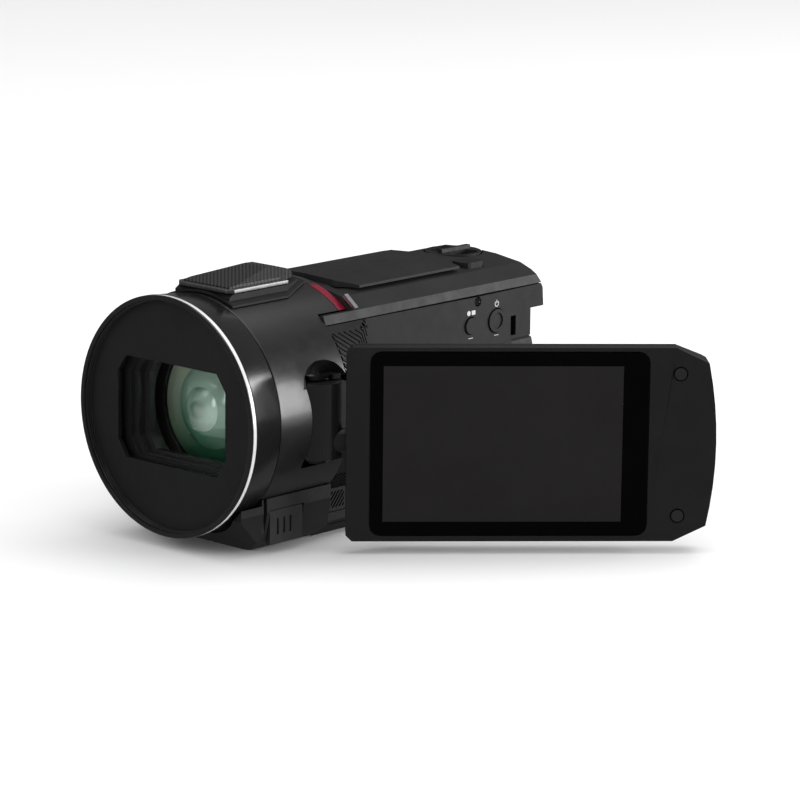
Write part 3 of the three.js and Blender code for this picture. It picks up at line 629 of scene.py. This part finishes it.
def key_marks():
    """A power symbol and a dot with a rectangle above the two side keys, and a short line under each."""
    power_y, power_low, power_high = key_place("power_button")
    mode_y, _, mode_high = key_place("mode_button")
    power_z = power_high + 1.5
    mode_z = mode_high + 1.3
    line_z = power_low - 0.9
    flat_mark("power_symbol", [arc(power_y, power_z, 0.85, 0.22, 125, 415),
                               bar(power_y - 0.12, power_z + 0.1, 0.24, 0.95)])
    flat_mark("mode_symbol", [arc(mode_y - 0.9, mode_z, 0.7, 0.7, 0, 359),
                              bar(mode_y + 0.3, mode_z - 0.6, 1.5, 1.2)])
    flat_mark("key_underlines", [bar(power_y - 0.9, line_z, 1.8, 0.16),
                                 bar(mode_y - 0.9, line_z + 0.6, 1.8, 0.16)])


# ---------------------------------------------------------------- cheek ribs
CHEEK_START = (30.3, 38.3)
CHEEK_END = (22.0, 54.4)
CHEEK_LENGTH = math.hypot(CHEEK_END[0] - CHEEK_START[0], CHEEK_END[1] - CHEEK_START[1])
CHEEK_RUN = ((CHEEK_END[0] - CHEEK_START[0]) / CHEEK_LENGTH, (CHEEK_END[1] - CHEEK_START[1]) / CHEEK_LENGTH)
CHEEK_Y = (38.6, 53.9)
CHEEK_ROOT = -7
SKIN = {"proud": 0.06, "radius": 31.25}
SLAT = {"proud": 0.34, "radius": 31.5, "pitch": 1.9, "half_width": 0.42, "half_length": 16, "each_way": 9}
BOX_SIDES = ((3, 2, 1, 0), (4, 5, 6, 7), (0, 1, 5, 4), (1, 2, 6, 5), (2, 3, 7, 6), (3, 0, 4, 7))


def cheek_slab(name, outline, shape, low, high):
    """A slab over (along, up) points of the sloping cheek, kept to the case's curve and the cheek's ends."""
    points = []
    for depth in (CHEEK_ROOT, shape["proud"]):
        for along, z in outline:
            x = CHEEK_START[0] + CHEEK_RUN[0] * along + CHEEK_RUN[1] * depth
            y = CHEEK_START[1] + CHEEK_RUN[1] * along - CHEEK_RUN[0] * depth
            points.append((x, y, z))
    slab = make_mesh(name, points, BOX_SIDES)
    y0, y1 = CHEEK_Y
    radius = shape["radius"]
    carve(slab, [lathe(name + "_tube", [(0.0, y0), (radius, y0), (radius, y1), (0.0, y1)], 192)], "INTERSECT")
    carve(slab, [block(name + "_field", 22.02, 40, y0, y1, low, high)], "INTERSECT")
    return slab


def slat_outline(offset, middle, tilt):
    """The corners of one slanted slat, its centre `offset` along the cheek from the cheek's middle."""
    half_length, half_width = SLAT["half_length"], SLAT["half_width"]
    corners = []
    for s, w in ((-half_length, -half_width), (half_length, -half_width), (half_length, half_width),
                 (-half_length, half_width)):
        along = 9.05 + offset + s * math.cos(tilt) - w * math.sin(tilt)
        corners.append((along, middle + s * math.sin(tilt) + w * math.cos(tilt)))
    return corners


def cheek_ribs(name, low, high, lean):
    """Slanted slats over a thin skin, on the sloping cheek between the barrel and the flat side."""
    whole = [(-3, low), (21, low), (21, high), (-3, high)]
    finish_piece(cheek_slab(name + "_0", whole, SKIN, low, high), INNER)
    count = 2 * SLAT["each_way"] + 1
    for number in range(count):
        offset = (number - SLAT["each_way"]) * SLAT["pitch"]
        outline = slat_outline(offset, (low + high) / 2, math.radians(lean))
        slat = cheek_slab(name + "_" + str(number + 1), outline, SLAT, low, high)
        if slat.data.polygons:
            finish_piece(slat, CASE)
        else:
            bpy.data.objects.remove(slat)


cheek_ribs("upper_cheek_ribs", 8.5, 20.3, -50)
cheek_ribs("lower_cheek_ribs", -30.5, -18.0, 50)
picture_area()
key_marks()
thread_ring()
chrome_band()
barrel_shell()
lens_elements()
mic_lip()


# ---------------------------------------------------------------- hand strap
STRAP_BOW = {"half": 27.9, "mid_x": -41.3, "end_x": -32.8}
PAD_BOW = {"half": 20.8, "mid_x": -38.3, "end_x": -34.6}
STRAP_STEPS = 60
STRAP_Y = ((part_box("hand_strap")[0].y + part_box("hand_strap")[1].y) / 2 - FRONT_Y) / MM


def bow_point(t, bow):
    """A point (x, y) on a bow at t from -1 (front) to 1 (rear)."""
    out = max(0.0, 1 - t * t) ** 0.8
    return bow["end_x"] + (bow["mid_x"] - bow["end_x"]) * out, STRAP_Y + t * bow["half"]


def bow_rings(bow, section):
    """Sections (dx, z) set along a bow."""
    rings = []
    for i in range(STRAP_STEPS + 1):
        t = -1 + 2 * i / STRAP_STEPS
        x, y = bow_point(t, bow)
        rings.append([(x + dx, y, z) for dx, z in section(t)])
    return rings


def webbing_section(_):
    """A flat band, a little thicker at its two selvedges."""
    return [(-0.45, -13.6), (-0.6, -13.9), (0.6, -13.9), (0.45, -13.6), (0.45, 9.6), (0.6, 9.9), (-0.6, 9.9),
            (-0.45, 9.6)]


def pad_section(t):
    """A padded section: full in the middle, pinched along its seams and towards the ends."""
    full = 1.35 * (1 - abs(t) ** 6) + 0.25
    points = []
    count = 24
    for i in range(count):
        a = 2 * math.pi * i / count
        round_x = math.copysign(abs(math.cos(a)) ** 0.7, math.cos(a))
        round_z = math.copysign(abs(math.sin(a)) ** 0.45, math.sin(a))
        points.append((round_x * full, -2 + round_z * 14.8))
    return points


def hand_strap():
    """The webbing band, stretched between its anchors, and the pad inside it."""
    band = loft("grip_strap", bow_rings(STRAP_BOW, webbing_section))
    finish_piece(band, WEBBING, ["hand_strap"])
    pad = loft("grip_pad", bow_rings(PAD_BOW, pad_section))
    finish_piece(pad, PAD_CLOTH, ["strap_pad"])


hand_strap()


# ---------------------------------------------------------------- stage, light and camera
FLOOR_HALF = 6.0
WORLD_STRENGTH = 0.85
WORLD_IN_REFLECTIONS = 0.16


def area_light(name, position, target, size, power, size_y=None):
    """A soft rectangular light, aimed at a point."""
    data = bpy.data.lights.new(name, "AREA")
    data.shape = "RECTANGLE"
    data.size = size
    data.size_y = size_y or size
    data.energy = power
    obj = bpy.data.objects.new(name, data)
    bpy.context.scene.collection.objects.link(obj)
    obj.location = position
    obj.rotation_euler = (Vector(target) - Vector(position)).to_track_quat("-Z", "Y").to_euler()


def pale_floor():
    """A large pale floor that isn't mirrored in the glossy parts."""
    mesh = bpy.data.meshes.new("floor")
    half = FLOOR_HALF
    corners = [(-half, -half, 0), (half, -half, 0), (half, half, 0), (-half, half, 0)]
    mesh.from_pydata(corners, [], [(0, 1, 2, 3)])
    floor = bpy.data.objects.new("floor", mesh)
    bpy.context.scene.collection.objects.link(floor)
    material, tree, shader = new_material("floor_pale")
    colour = ramp(tree, noise(tree, 1.2).outputs["Fac"], (0.84, 0.84, 0.84), (0.88, 0.88, 0.88))
    tree.links.new(colour.outputs["Color"], shader.inputs["Base Color"])
    shader.inputs["Roughness"].default_value = 0.9
    mesh.materials.append(material)
    floor.visible_glossy = False


def pale_world():
    """An even white surround, dimmer where it is seen in reflections."""
    world = bpy.data.worlds.new("studio")
    bpy.context.scene.world = world
    world.use_nodes = True
    tree = world.node_tree
    background = tree.nodes["Background"]
    background.inputs["Color"].default_value = (1, 1, 1, 1)
    path = tree.nodes.new("ShaderNodeLightPath")
    dim = tree.nodes.new("ShaderNodeMapRange")
    dim.inputs["To Min"].default_value = WORLD_STRENGTH
    dim.inputs["To Max"].default_value = WORLD_IN_REFLECTIONS
    tree.links.new(path.outputs["Is Glossy Ray"], dim.inputs["Value"])
    tree.links.new(dim.outputs["Result"], background.inputs["Strength"])


def studio():
    """Floor, surround and four soft lights."""
    pale_floor()
    pale_world()
    area_light("overhead", (0.1, 0.3, 1.2), (0, 0, 0), 1.0, 6)
    area_light("rear_side", (0.95, 1.0, 0.2), (0.03, 0, 0.04), 1.3, 26, 0.6)
    area_light("front_left", (-0.6, -1.2, 0.9), (0, 0, 0.04), 0.6, 3)
    area_light("front_right", (0.2, -1.5, 0.5), (0, 0, 0.04), 0.25, 4, 0.9)


CAMERA = {"azimuth": 42.4, "elevation": 12.57, "roll": 0.6, "lens": 173.68,
          "from_ring_mm": (713.6, -689.6, 226.2)}


def photo_camera():
    """The camera of the rest view, given by its angles and its place from the ring's centre."""
    a = math.radians(CAMERA["azimuth"])
    e = math.radians(CAMERA["elevation"])
    roll = math.radians(CAMERA["roll"])
    right = Vector((math.cos(a), math.sin(a), 0))
    up = Vector((-math.sin(e) * math.sin(a), math.sin(e) * math.cos(a), math.cos(e)))
    back = Vector((math.cos(e) * math.sin(a), -math.cos(e) * math.cos(a), math.sin(e)))
    right, up = (math.cos(roll) * right + math.sin(roll) * up, -math.sin(roll) * right + math.cos(roll) * up)
    data = bpy.data.cameras.new("photo_camera")
    data.lens = CAMERA["lens"]
    data.sensor_width = 36.0
    data.clip_start = 0.05
    data.clip_end = 50
    obj = bpy.data.objects.new("photo_camera", data)
    bpy.context.scene.collection.objects.link(obj)
    turn = Matrix((right, up, back)).transposed().to_4x4()
    obj.matrix_world = Matrix.Translation(place(*CAMERA["from_ring_mm"])) @ turn
    bpy.context.scene.camera = obj


studio()
photo_camera()
bpy.context.scene.view_settings.view_transform = "Standard"
